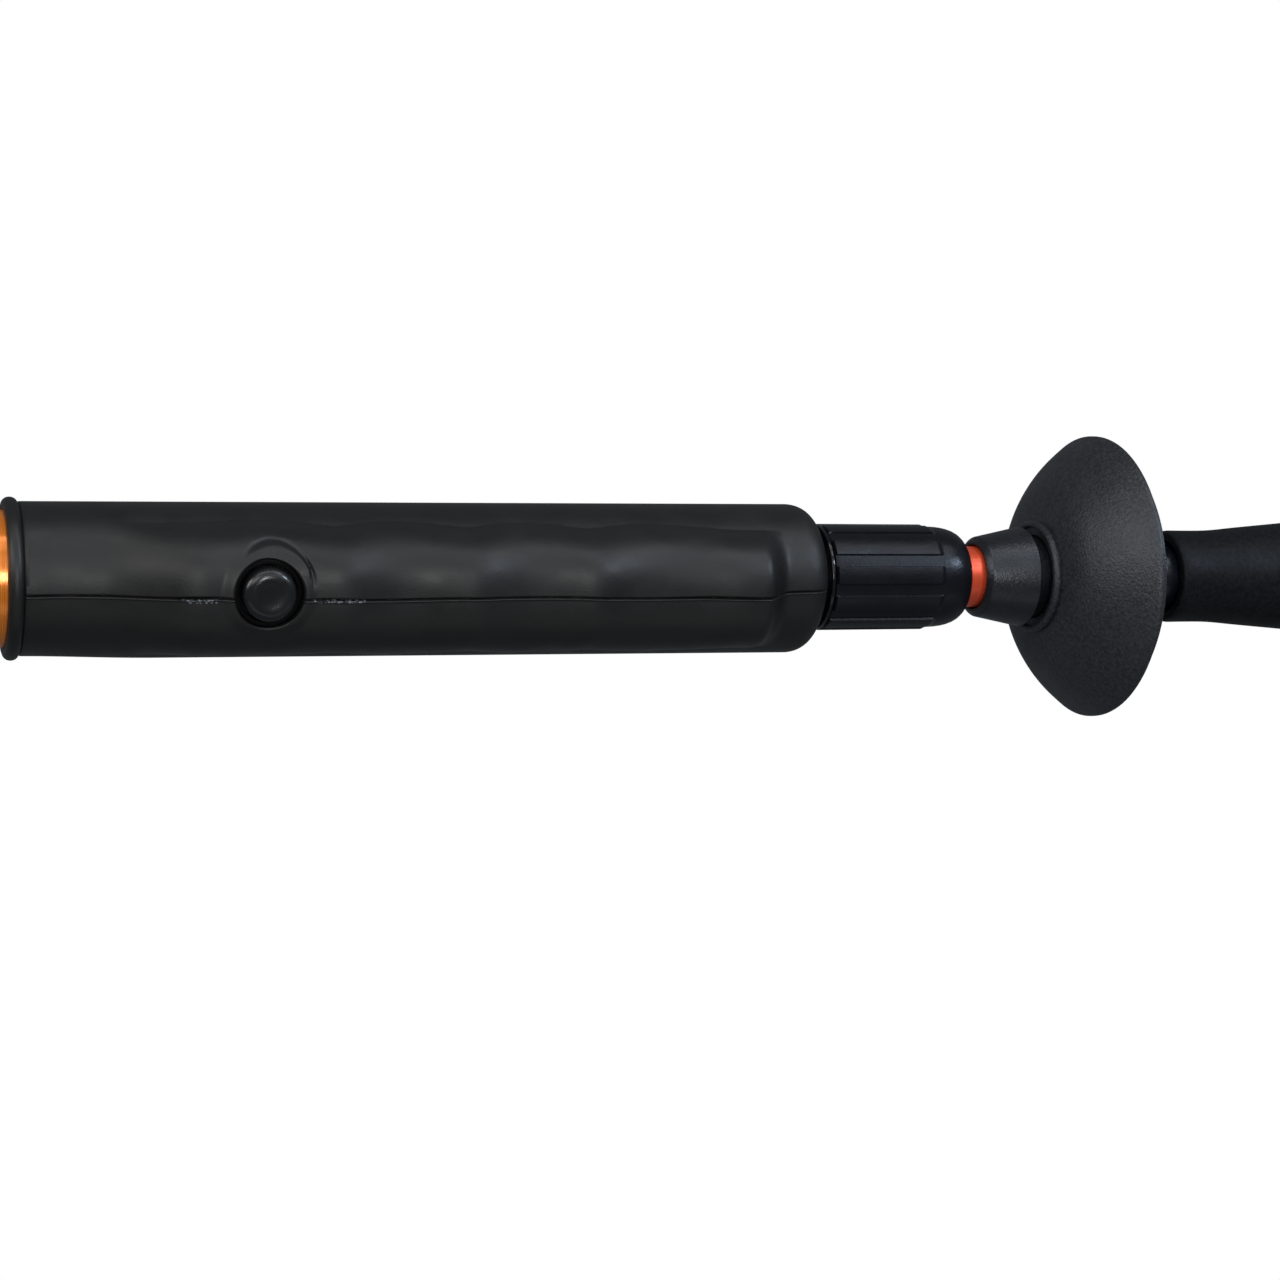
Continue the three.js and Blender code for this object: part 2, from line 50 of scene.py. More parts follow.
TURN = 2 * math.pi


# ---- places read from the frame ------------------------------------------------------------------
def span(node):
    """A turned node's first x, last x and outer radius, in millimetres."""
    low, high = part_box(node)
    return low.x / MM, high.x / MM, high.z / MM


GRIP_BACK, GRIP_FRONT, _ = span("rubber_grip")
BARREL_BACK, BARREL_FRONT, BARREL_R = span("barrel")
CAP_BACK, CAP_FRONT, CAP_R = span("tail_cap")
SEAL_BACK, SEAL_FRONT, SEAL_R = span("cap_seal")
RING_BACK, RING_FRONT, RING_R = span("collar_ring")
BUSH_BACK, BUSH_FRONT, BUSH_R = span("front_bush")
SLEEVE_BACK, SLEEVE_FRONT, SLEEVE_R = span("lock_sleeve")
TUBE_BACK, TUBE_FRONT, TUBE_R = span("lower_tube")
FERRULE_BACK, FERRULE_FRONT, _ = span("tip_ferrule")
BASKET_BACK, BASKET_FRONT, BASKET_R = span("basket")
NUT_BACK, NUT_FRONT, NUT_R = span("basket_nut")
HOUSING_BACK, HOUSING_FRONT, HOUSING_R = span("probe_housing")
BOOT_BACK, BOOT_FRONT, BOOT_R = span("rubber_boot")
BUTTON_LOW, BUTTON_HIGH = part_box("button_cap")
BUTTON_X = (BUTTON_LOW.x + BUTTON_HIGH.x) / 2 / MM
BUTTON_Z = (BUTTON_LOW.z + BUTTON_HIGH.z) / 2 / MM
BUTTON_TOP = -BUTTON_LOW.y / MM
SLEEVE_BORE = 8.9
GAP = 0.3


# ---- camera, lights, floor -----------------------------------------------------------------------
def add_camera():
    """The photograph's view: from the left of the finger pad and a little above it, with a slight roll."""
    yaw, elevation, roll = math.radians(20.07), math.radians(12.87), math.radians(4.01)
    camera = bpy.data.cameras.new("camera")
    camera.sensor_width = 36
    camera.lens = 69.04
    camera.clip_start = 0.01
    camera.clip_end = 20
    holder = bpy.data.objects.new("camera", camera)
    bpy.context.scene.collection.objects.link(holder)
    forward = Vector((math.sin(yaw) * math.cos(elevation), math.cos(yaw) * math.cos(elevation),
                      -math.sin(elevation)))
    level = forward.cross(Vector((0, 0, 1))).normalized()
    right = Matrix.Rotation(-roll, 3, forward) @ level
    up = right.cross(forward)
    holder.matrix_world = Matrix.Translation((-0.1136, -0.42492, 0.09125)) @ Matrix(
        (right, up, -forward)).transposed().to_4x4()
    bpy.context.scene.camera = holder


def add_light(name, place, target, size, watts, colour=(1, 1, 1)):
    light = bpy.data.lights.new(name, "AREA")
    light.shape = "RECTANGLE"
    light.size, light.size_y = size
    light.energy = watts
    light.color = colour
    holder = bpy.data.objects.new(name, light)
    bpy.context.scene.collection.objects.link(holder)
    holder.location = place
    holder.rotation_mode = "QUATERNION"
    holder.rotation_quaternion = (Vector(target) - Vector(place)).to_track_quat("-Z", "Y")


def add_floor():
    """A plain pale floor, well below the held wand."""
    mesh = bpy.data.meshes.new("floor")
    half, level = 6, -0.6
    mesh.from_pydata([(-half, -half, level), (half, -half, level), (half, half, level), (-half, half, level)],
                     [], [(0, 1, 2, 3)])
    floor = bpy.data.objects.new("floor", mesh)
    bpy.context.scene.collection.objects.link(floor)
    paint = bpy.data.materials.new("pale_floor")
    paint.use_nodes = True
    nodes, links = paint.node_tree.nodes, paint.node_tree.links
    nodes.clear()
    out = nodes.new("ShaderNodeOutputMaterial")
    glow = nodes.new("ShaderNodeEmission")
    glow.inputs["Color"].default_value = (1, 1, 1, 1)
    glow.inputs["Strength"].default_value = 1.0
    links.new(glow.outputs[0], out.inputs["Surface"])
    mesh.materials.append(paint)
    floor.visible_diffuse = False
    floor.visible_glossy = False


def add_surround():
    """A white surround for the camera and a dim, faintly blue one for the light."""
    world = bpy.data.worlds.new("studio")
    bpy.context.scene.world = world
    world.use_nodes = True
    nodes, links = world.node_tree.nodes, world.node_tree.links
    nodes.clear()
    out = nodes.new("ShaderNodeOutputWorld")
    seen = nodes.new("ShaderNodeBackground")
    seen.inputs["Color"].default_value = (1, 1, 1, 1)
    lighting = nodes.new("ShaderNodeBackground")
    lighting.inputs["Color"].default_value = (0.85, 0.92, 1, 1)
    lighting.inputs["Strength"].default_value = 0.14
    path = nodes.new("ShaderNodeLightPath")
    mix = nodes.new("ShaderNodeMixShader")
    links.new(path.outputs["Is Camera Ray"], mix.inputs["Fac"])
    links.new(lighting.outputs[0], mix.inputs[1])
    links.new(seen.outputs[0], mix.inputs[2])
    links.new(mix.outputs[0], out.inputs["Surface"])
    bpy.context.scene.view_settings.view_transform = "Standard"


add_camera()
add_floor()
add_surround()
add_light("panel", (0.0, -0.36, 1.0), (0.0, 0, 0), (1.7, 0.45), 2.3)
add_light("skylight", (0.56, -0.44, 0.89), (0.1, 0, 0), (0.2, 0.2), 0.6, (0.72, 0.86, 1))
add_light("ceiling_strip", (0.1, -0.14, 1.0), (0.1, 0, 0), (1.6, 0.05), 1.1)
add_light("front_softbox", (0.1, -0.9, 0.7), (0.1, 0, 0), (2.0, 0.6), 2.45, (1, 0.99, 0.98))
add_light("left_softbox", (-0.85, -0.8, 0.72), (0.1, 0, 0), (0.9, 0.6), 2.7, (1, 0.99, 0.98))
add_light("left_card", (-0.78, -0.14, 0.38), (0.13, 0, 0), (0.35, 0.35), 1.5)
add_light("floor_bounce", (0, -0.62, -0.5), (0, 0, 0), (1.6, 0.25), 0.4, (1, 0.97, 0.93))
add_light("right_card", (0.66, -0.47, 0.5), (0, 0, 0), (0.1, 0.1), 2.0, (0.7, 0.82, 1))
add_light("camera_lamp", (-0.02, -0.75, 0.2), (-0.08, 0, 0), (0.1, 0.2), 1.0)


# ---- materials -----------------------------------------------------------------------------------
def srgb(red, green, blue):
    """Linear colour of an sRGB colour given as 0 to 255."""
    def linear(value):
        share = value / 255
        return share / 12.92 if share <= 0.04045 else ((share + 0.055) / 1.055) ** 2.4
    return (linear(red), linear(green), linear(blue), 1)


class Surface:
    """A principled material whose colour, roughness and relief come from procedural textures."""

    def __init__(self, name):
        self.material = bpy.data.materials.new(name)
        self.material.use_nodes = True
        self.nodes = self.material.node_tree.nodes
        self.links = self.material.node_tree.links
        self.shader = self.nodes["Principled BSDF"]
        self.place = self.nodes.new("ShaderNodeTexCoord").outputs["Object"]
        self.relief = None

    def set(self, **values):
        for key, value in values.items():
            self.shader.inputs[key.replace("_", " ")].default_value = value
        return self

    def noise(self, scale, detail=3.0, stretch=(1, 1, 1), roughness=0.55):
        mapping = self.nodes.new("ShaderNodeMapping")
        mapping.inputs["Scale"].default_value = stretch
        self.links.new(self.place, mapping.inputs["Vector"])
        texture = self.nodes.new("ShaderNodeTexNoise")
        texture.inputs["Scale"].default_value = scale
        texture.inputs["Detail"].default_value = detail
        texture.inputs["Roughness"].default_value = roughness
        self.links.new(mapping.outputs[0], texture.inputs["Vector"])
        return texture.outputs["Fac"]

    def ramp(self, value, low, high, first, second):
        """A colour that goes from first to second as value goes from low to high."""
        node = self.nodes.new("ShaderNodeValToRGB")
        node.color_ramp.elements[0].position = low
        node.color_ramp.elements[0].color = first
        node.color_ramp.elements[1].position = high
        node.color_ramp.elements[1].color = second
        self.links.new(value, node.inputs["Fac"])
        return node.outputs["Color"]

    def colour(self, value, first, second, low=0.35, high=0.65):
        self.links.new(self.ramp(value, low, high, first, second), self.shader.inputs["Base Color"])
        return self

    def math(self, operation, first, second):
        node = self.nodes.new("ShaderNodeMath")
        node.operation = operation
        for socket, value in zip(node.inputs, (first, second)):
            if isinstance(value, bpy.types.NodeSocket):
                self.links.new(value, socket)
            else:
                socket.default_value = value
        return node.outputs[0]

    def cover(self, mask, shade):
        """Lays a shade over the base colour where mask is 1."""
        mix = self.nodes.new("ShaderNodeMix")
        mix.data_type = "RGBA"
        mix.inputs["B"].default_value = shade
        base = self.shader.inputs["Base Color"]
        self.links.new(base.links[0].from_socket, mix.inputs["A"])
        self.links.new(mask, mix.inputs["Factor"])
        self.links.new(mix.outputs["Result"], base)

    def specks(self, scale, size, shade):
        """Small round specks of dust, in one cell of every six."""
        cells = self.nodes.new("ShaderNodeTexVoronoi")
        cells.inputs["Scale"].default_value = scale
        self.links.new(self.place, cells.inputs["Vector"])
        pick = self.nodes.new("ShaderNodeSeparateColor")
        self.links.new(cells.outputs["Color"], pick.inputs["Color"])
        near = self.math("LESS_THAN", cells.outputs["Distance"], size)
        self.cover(self.math("MULTIPLY", near, self.math("GREATER_THAN", pick.outputs["Red"], 0.83)), shade)

    def torn_seam_glints(self, middle, spread, shade):
        """Painted glints: pale bits along the front seam that stand for light caught by its torn flash, from
        middle - spread to middle + spread in x.
        """
        axes = self.nodes.new("ShaderNodeSeparateXYZ")
        self.links.new(self.place, axes.inputs[0])
        across = self.math("ABSOLUTE", self.math("ADD", axes.outputs["Z"], 0.0003), 0)
        along = self.math("ABSOLUTE", self.math("SUBTRACT", axes.outputs["X"], middle * MM), 0)
        front = self.math("LESS_THAN", axes.outputs["Y"], 0)
        narrow = self.math("LESS_THAN", across, 0.00034)
        short = self.math("LESS_THAN", along, spread * MM)
        bits = self.math("GREATER_THAN", self.noise(2300, 3), 0.54)
        strip = self.math("MULTIPLY", front, narrow)
        self.cover(self.math("MULTIPLY", strip, self.math("MULTIPLY", short, bits)), shade)

    def rough(self, value, first, second, low=0.35, high=0.65):
        node = self.nodes.new("ShaderNodeMapRange")
        node.inputs["From Min"].default_value = low
        node.inputs["From Max"].default_value = high
        node.inputs["To Min"].default_value = first
        node.inputs["To Max"].default_value = second
        self.links.new(value, node.inputs["Value"])
        self.links.new(node.outputs[0], self.shader.inputs["Roughness"])
        return self

    def bump(self, value, depth):
        """Adds relief that is depth metres deep."""
        node = self.nodes.new("ShaderNodeBump")
        node.inputs["Distance"].default_value = depth
        node.inputs["Strength"].default_value = 1.0
        self.links.new(value, node.inputs["Height"])
        if self.relief:
            self.links.new(self.relief, node.inputs["Normal"])
        self.relief = node.outputs[0]
        self.links.new(self.relief, self.shader.inputs["Normal"])
        return self


def moulded(name, dark, light, rough, grain=2600, depth=0.00003, specular=0.5, dust=False, torn=(),
            fleck=55, tint=(1, 1, 1, 1)):
    """Moulded rubber or plastic: uneven colour (fleck is its noise scale) and gloss, and a fine grain of the
    given depth in metres. It can have specks of dust, painted glints along torn lengths of seam and a tint in
    its reflections."""
    surface = Surface(name)
    surface.set(Specular_IOR_Level=specular, Specular_Tint=tint)
    surface.colour(surface.noise(fleck, 4), dark, light)
    if dust:
        surface.specks(150, 0.03, srgb(140, 138, 134))
    # Painted glints: pale bluish bits along the torn seam, standing for light caught by its flash.
    for middle, spread in torn:
        surface.torn_seam_glints(middle, spread, srgb(120, 124, 128))
    surface.rough(surface.noise(140, 5), rough - 0.05, rough + 0.07)
    surface.bump(surface.noise(grain, 2), depth)
    surface.bump(surface.noise(grain / 14, 3), min(depth * 2.5, 0.00007))
    return surface.material


def anodised(name, colour, deep, rough, metal, lines=5200):
    """Dyed aluminium with fine lathe lines round it, lines to the metre along the axis."""
    surface = Surface(name)
    surface.set(Metallic=metal, Coat_Weight=0.3, Coat_Roughness=0.14, Coat_IOR=1.6)
    streaks = surface.noise(1, 5, (lines, 60, 60), 0.7)
    surface.colour(streaks, deep, colour)
    surface.rough(streaks, rough - 0.06, rough + 0.08)
    surface.bump(streaks, 0.000004)
    return surface.material


def bright_metal(name, colour, rough):
    surface = Surface(name)
    surface.set(Metallic=1.0)
    shade = tuple(value * 0.75 for value in colour[:3]) + (1,)
    surface.colour(surface.noise(400, 4), shade, colour)
    surface.rough(surface.noise(900, 4), rough - 0.06, rough + 0.1)
    return surface.material


COOL = (0.86, 0.92, 1, 1)
# Spans along the seam, as (middle, spread) in mm, where the grip has painted glints on its torn flash.
TORN_SEAM_GLINTS = ((-44.5, 3.0), (-20.5, 4.6))
GRIP_RUBBER = moulded("grip_rubber", srgb(18, 18, 18), srgb(23, 23, 23), 0.44, 3000, 0.00002, 0.52,
                      dust=True, torn=TORN_SEAM_GLINTS)
BUTTON_RUBBER = moulded("button_rubber", srgb(18, 18, 20), srgb(23, 23, 25), 0.25, 3000, 0.00001, 0.6)
BOOT_RUBBER = moulded("boot_rubber", srgb(12, 13, 15), srgb(26, 27, 30), 0.5, 2200, 0.00003, 0.16,
                      dust=True, fleck=1300, tint=COOL)
BLACK_PLASTIC = moulded("black_plastic", srgb(12, 13, 17), srgb(18, 19, 25), 0.3, 2000, 0.00004, 0.32,
                        dust=True, tint=COOL)
GLOSS_BLACK = moulded("gloss_black", srgb(10, 10, 11), srgb(16, 16, 18), 0.12, 1500, 0.000006)
# Painted shade: a black darker and duller than the other blacks, standing for the shade deep in the button's
# recess.
RECESS_PAINTED_SHADE = moulded("recess_painted_shade", srgb(5, 5, 6), srgb(9, 9, 10), 0.6, 2000, 0.00001, 0.12)
BASKET_PLASTIC = moulded("basket_plastic", srgb(22, 22, 24), srgb(48, 48, 52), 0.44, 2200, 0.00012, 0.72,
                         dust=True, fleck=1500, tint=COOL)
FERRULE_PLASTIC = moulded("ferrule_plastic", srgb(12, 13, 16), srgb(26, 27, 32), 0.34, 2000, 0.00006, 0.72,
                          fleck=1300, tint=COOL)
TIP_PLASTIC = moulded("tip_plastic", srgb(14, 18, 30), srgb(20, 25, 38), 0.3, 1800, 0.00001)
BARREL_FINISH = anodised("orange_anodised", srgb(255, 152, 50), srgb(252, 136, 38), 0.24, 0.42)
TUBE_FINISH = anodised("red_anodised", srgb(250, 96, 56), srgb(240, 82, 44), 0.4, 0.45, 3600)
NYLON = moulded("grey_nylon", srgb(138, 140, 142), srgb(150, 152, 154), 0.5)
BOARD = moulded("circuit_board_green", srgb(20, 78, 46), srgb(32, 96, 58), 0.35, 900, 0.00001)
COMPONENT = moulded("component_black", srgb(20, 20, 20), srgb(28, 28, 28), 0.45)
STEEL = bright_metal("steel", srgb(190, 190, 194), 0.28)
NICKEL = bright_metal("nickel", srgb(206, 202, 190), 0.25)
COPPER = bright_metal("copper", srgb(196, 118, 66), 0.3)
CELL_WRAP = moulded("cell_wrap", srgb(88, 92, 98), srgb(98, 102, 108), 0.3, 600, 0.00001)
FERRITE = moulded("ferrite", srgb(40, 40, 43), srgb(52, 52, 55), 0.7, 1800, 0.00004)
LEAD_SHEATH = moulded("lead_sheath", srgb(22, 22, 24), srgb(28, 28, 30), 0.45)
FELT = moulded("felt", srgb(66, 66, 63), srgb(86, 86, 82), 0.95, 5200, 0.00012)


# ---- mesh helpers --------------------------------------------------------------------------------
def make_piece(name, points, faces, material, body, nodes, sharp=40):
    """A smooth-shaded object from points in millimetres. It rides on body and stands for the CAD nodes."""
    mesh = bpy.data.meshes.new(name)
    mesh.from_pydata((np.asarray(points, float) * MM).tolist(), [], faces)
    work = bmesh.new()
    work.from_mesh(mesh)
    bmesh.ops.remove_doubles(work, verts=work.verts, dist=1e-7)
    loose = [vertex for vertex in work.verts if not vertex.link_faces]
    bmesh.ops.delete(work, geom=loose, context="VERTS")
    bmesh.ops.recalc_face_normals(work, faces=work.faces)
    work.to_mesh(mesh)
    work.free()
    mesh.shade_smooth()
    mesh.set_sharp_from_angle(angle=math.radians(sharp))
    mesh.materials.append(material)
    piece = bpy.data.objects.new(name, mesh)
    bpy.context.scene.collection.objects.link(piece)
    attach(piece, body)
    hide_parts(*nodes)
    return piece


def rounded(corners, closed=True, steps=5):
    """A profile with its corners rounded: each corner is (x, radius) or (x, radius, rounding)."""
    count = len(corners)
    profile = []
    for i, corner in enumerate(corners):
        here = Vector(corner[:2])
        size = corner[2] if len(corner) > 2 else 0
        if size == 0 or (not closed and i in (0, count - 1)):
            profile.append(tuple(here))
            continue
        before = Vector(corners[i - 1][:2]) - here
        after = Vector(corners[(i + 1) % count][:2]) - here
        reach = min(size, before.length * 0.49, after.length * 0.49)
        start, end = here + before.normalized() * reach, here + after.normalized() * reach
        for k in range(steps + 1):
            share = k / steps
            profile.append(tuple(start * (1 - share) ** 2 + here * 2 * share * (1 - share)
                                 + end * share ** 2))
    return profile


def revolve(profile, angles, shape=None, closed=True):
    """Points and faces of a profile turned about the wand's axis. Angles are measured from -Y towards +Z.
    shape(x, radius, angle) gives the radius at each place."""
    profile = np.asarray(profile, float)
    x = np.repeat(profile[:, 0][:, None], len(angles), 1)
    radius = np.repeat(profile[:, 1][:, None], len(angles), 1)
    angle = np.repeat(np.asarray(angles)[None, :], len(profile), 0)
    if shape:
        radius = shape(x, radius, angle)
    points = np.stack([x, -radius * np.cos(angle), radius * np.sin(angle)], -1).reshape(-1, 3)
    across = len(angles)
    rows = len(profile) if closed else len(profile) - 1
    faces = []
    for i in range(rows):
        low, high = i * across, ((i + 1) % len(profile)) * across
        for j in range(across):
            k = (j + 1) % across
            faces.append((low + j, low + k, high + k, high + j))
    return points, faces


def even_angles(count):
    return np.arange(count) * TURN / count


def turned_piece(name, profile, material, body, nodes, sides=144, shape=None, sharp=40):
    points, faces = revolve(profile, even_angles(sides), shape)
    return make_piece(name, points, faces, material, body, nodes, sharp)


def standing_piece(name, profile, material, body, nodes, sides=96):
    """A profile of (height, radius) turned about the button's axis, with its height towards -Y."""
    points, faces = revolve(profile, even_angles(sides), closed=False)
    along, first, second = points.T
    placed = np.stack([BUTTON_X + first, -along, BUTTON_Z + second], -1)
    return make_piece(name, placed, faces, material, body, nodes)


def smoothstep(low, high, value):
    share = np.clip((value - low) / (high - low), 0, 1)
    return share * share * (3 - 2 * share)


def smoothed(values, passes):
    """Averages each inner value with its neighbours, passes times over."""
    for _ in range(passes):
        values[1:-1] = (values[:-2] + 2 * values[1:-1] + values[2:]) / 4
    return values


# ---- rubber grip ---------------------------------------------------------------------------------
GRIP_BORE = BARREL_R + GAP
BEAD_LENGTH = 2.6
BEAD_R = 14.13
BACK_R, FRONT_R = 13.36, 14.0
SHOULDER = 5.0
GRIP_END = GRIP_FRONT - 0.55
END_R = 9.8
RIDGES = (-44.0, -19.5, 4.6, 27.0, 54.5)
PAD_RISE, PAD_FALL = (-61.0, -43.5), (59.5, 65.6)
PAD_OUT, PAD_HALF = (17.0, 18.5), (12.0, 11.1)
PAD_DEPTH, PAD_POWER = 15.5, 2.6
PAD_LEAN = math.radians(-5)
RECESS_R = 5.95
BOSS_RISE = 0.5
BROW_X, BROW_Z, BROW_R = 0.9, 2.1, 6.4


def base_radius(x):
    """The round grip's radius, which widens a little from back to front."""
    return BACK_R + (FRONT_R - BACK_R) * (x - GRIP_BACK) / (GRIP_FRONT - GRIP_BACK)


def ridge_share(x):
    """1 on the finger ridges and 0 in the valleys: quick to fall in front of each ridge, slow to climb."""
    fall_end = 0.42

    def sharp(at):
        share = np.ones_like(at)
        for low, high in zip(RIDGES, RIDGES[1:]):
            place = np.clip((at - low) / (high - low), 0, 1)
            fall = np.clip(1 - place / fall_end, 0, 1) ** 1.8
            climb = np.clip((place - fall_end) / (1 - fall_end), 0, 1) ** 1.6
            share = np.where((at >= low) & (at <= high), fall + climb, share)
        return share

    height = 0.5 + 0.5 * smoothstep(-44, -20, x)
    return height * np.mean([sharp(x + shift) for shift in (-1.8, -1.2, -0.6, 0, 0.6, 1.2, 1.8)], axis=0)


def seam_place(x):
    """How far the front mould seam wanders off its plane."""
    return 0.16 * np.sin(x / 9.0) + 0.1 * np.sin(x / 3.7 + 1.0) - 0.05


def seam_relief(x, z):
    """The mould halves' small mismatch: a shadow line with a thin flash under it, torn near the button."""
    off = z - seam_place(x)
    proud = 0.1 * np.where(off > 0, np.exp(-np.clip(off, 0, 50) / 3.0), 0)
    torn = np.exp(-((np.abs(x - BUTTON_X) - 12) / 3.4) ** 4) + 0.7 * np.exp(-((x - 52) / 7) ** 2)
    wear = np.clip(torn, 0, 1)
    line = -(0.36 + 0.3 * wear) * np.exp(-((off - 0.03) / (0.15 + 0.07 * wear)) ** 2)
    bits = np.clip(np.sin(x * 5.1) + np.sin(x * 3.3 + 2) + np.sin(x * 9.7 + 1) - 0.9, 0, 1.2)
    flash = (0.22 + 0.35 * torn * bits) * np.exp(-((off + 0.32) / 0.17) ** 2)
    return proud + line + flash


def soft_max(first, second, blend):
    """The larger of two surfaces with a small fillet where they cross."""
    gap = np.clip(blend - np.abs(first - second), 0, None)
    return np.maximum(first, second) + gap * gap / (4 * blend)


def pad_reach(x, side):
    """The finger pad's radius: a superellipse, flat at the seam and steep where it meets the round grip."""
    share = ridge_share(x)
    out = PAD_OUT[0] + (PAD_OUT[1] - PAD_OUT[0]) * share
    half = PAD_HALF[0] + (PAD_HALF[1] - PAD_HALF[0]) * share
    low, high = np.zeros_like(side), np.full_like(side, 20.0)
    for _ in range(16):
        middle = (low + high) / 2
        forward = np.clip(middle * np.cos(side) - out + PAD_DEPTH, 0, None) / PAD_DEPTH
        outside = forward ** PAD_POWER + (middle * np.sin(side) / half) ** PAD_POWER > 1
        low, high = np.where(outside, low, middle), np.where(outside, middle, high)
    return (low + high) / 2


def grip_radius(x, angle):
    """The grip's outer radius, without the boss round the button."""
    turn = (angle + math.pi) % TURN - math.pi
    base = base_radius(x)
    lean = turn - PAD_LEAN * smoothstep(0, 0.6, -turn)
    raised = soft_max(base, pad_reach(x, np.clip(np.abs(lean), 0, math.radians(89))), 0.1) - base
    along = smoothstep(*PAD_RISE, x) * (1 - smoothstep(*PAD_FALL, x))
    sag = 0.5 * smoothstep(-74, -50, x) * np.exp(-((turn + math.radians(85)) / math.radians(32)) ** 2)
    radius = base + raised * along + sag
    front = np.abs(turn) < math.radians(30)
    clear = smoothstep(GRIP_BACK + BEAD_LENGTH - 0.5, GRIP_BACK + BEAD_LENGTH + 0.5, x)
    radius = radius + np.where(front, seam_relief(x, radius * np.sin(turn)), 0) * clear
    back_turn = np.abs(np.abs(turn) - math.pi)
    back_line = 0.1 * np.exp(-(back_turn * radius / 0.12) ** 2)
    return radius + back_line * clear


def pad_surface(x, z):
    """How far the grip reaches towards -Y at a place on the button's side."""
    angle = np.arcsin(np.clip(z / 17.5, -0.99, 0.99))
    for _ in range(18):
        angle = np.arcsin(np.clip(z / grip_radius(x, angle), -0.99, 0.99))
    return grip_radius(x, angle) * np.cos(angle)


def boss_surface(x, z):
    """The pad with the button's low boss: a rim round the hole and a raised brow over its upper right."""
    dx, dz = x - BUTTON_X, z - BUTTON_Z
    pad = pad_surface(x, z)
    rim = BOSS_RISE * (1 - smoothstep(RECESS_R + 0.3, RECESS_R + 2.6, np.hypot(dx, dz)))
    past = np.hypot(dx - BROW_X, dz - BROW_Z) - BROW_R
    facing = smoothstep(0.1, 0.75, np.cos(np.arctan2(dz - BROW_Z, dx - BROW_X) - math.radians(68)))
    brow = 0.5 * facing * (1 - smoothstep(-0.5, 0.05, past))
    groove = 0.5 * facing * np.exp(-((past - 0.25) / 0.3) ** 2)
    return pad + np.maximum(rim, brow) - groove


def grip_angles():
    """Angles round the grip, close together at the seam and the pad's edges."""
    fine = np.linspace(-math.pi, math.pi, 7201)
    density = (1 + 13 * np.exp(-(fine / math.radians(2.6)) ** 2)
               + 2.5 * np.exp(-((np.abs(fine) - math.radians(50)) / math.radians(9)) ** 2)
               + 5 * np.exp(-((np.abs(fine) - math.pi) / math.radians(1.6)) ** 2))
    total = np.concatenate([[0], np.cumsum((density[1:] + density[:-1]) / 2)])
    count = 360
    return np.interp(np.arange(count) / count * total[-1], total, fine)


def grip_rows():
    """The grip's profile: bore, back lip, bead, body, shoulder and front opening."""
    bead_half, bead_foot, steps = BEAD_LENGTH / 2, 12.6, 14
    rows = [(GRIP_BACK + 0.15, GRIP_BORE - 0.2), (GRIP_BACK, GRIP_BORE + 0.1)]
    for k in range(steps + 1):
        turn = math.pi * k / steps
        lift = (BEAD_R - bead_foot) * math.sin(turn) ** 0.7 if 0 < k < steps else 0
        past = max(0, k / steps * 2 - 1)
        neck = bead_foot + (BACK_R - bead_foot) * past - (0.25 if past else 0)
        rows.append((GRIP_BACK + bead_half - bead_half * math.cos(turn), max(bead_foot + lift, neck)))
    start, end = GRIP_BACK + BEAD_LENGTH + 0.25, GRIP_END - SHOULDER
    for x in np.linspace(start, end, 210):
        rows.append((x, base_radius(x)))
    drop = FRONT_R - END_R
    for k in range(1, 13):
        turn = math.pi / 2 * k / 12
        rows.append((end + SHOULDER * math.sin(turn) ** 0.85, END_R + drop * max(math.cos(turn), 0) ** 0.85))
    nose_bore, nose_back = 9.3, BARREL_FRONT + 2.3
    rows += [(GRIP_END, nose_bore + 0.2), (GRIP_END - 0.3, nose_bore), (nose_back, nose_bore),
             (nose_back, GRIP_BORE)]
    return rows


def boss_rings(edge):
    """Rings of points from the edge of the grip's opening in to the button's hole, then down its wall."""
    middle = np.array([BUTTON_X, 0.0])
    ray = edge - middle
    length = np.linalg.norm(ray, axis=1)
    ray /= length[:, None]
    offset = middle - np.array([BUTTON_X, BUTTON_Z])
    along = ray @ offset
    hit = -along + np.sqrt(along ** 2 - offset @ offset + RECESS_R ** 2)
    count, fillet = 48, 0.5
    rings = []
    for k in range(1, count + 1):
        share = 1 - (1 - k / count) ** 1.2
        place = middle + ray * (length + (hit - length) * share)[:, None]
        height = boss_surface(place[:, 0], place[:, 1])
        near = RECESS_R + fillet - np.hypot(place[:, 0] - BUTTON_X, place[:, 1] - BUTTON_Z)
        height -= fillet * (1 - np.sqrt(np.clip(1 - (np.clip(near, 0, fillet) / fillet) ** 2, 0, 1)))
        rings.append(np.stack([place[:, 0], -height, place[:, 1]], -1))
    rim = rings[-1]
    for depth in (0.4, 1.5, 3.0, 5.0):
        wall = rim.copy()
        wall[:, 1] = -np.maximum(-rim[:, 1] - depth, GRIP_BORE + 0.05)
        rings.append(wall)
    return rings


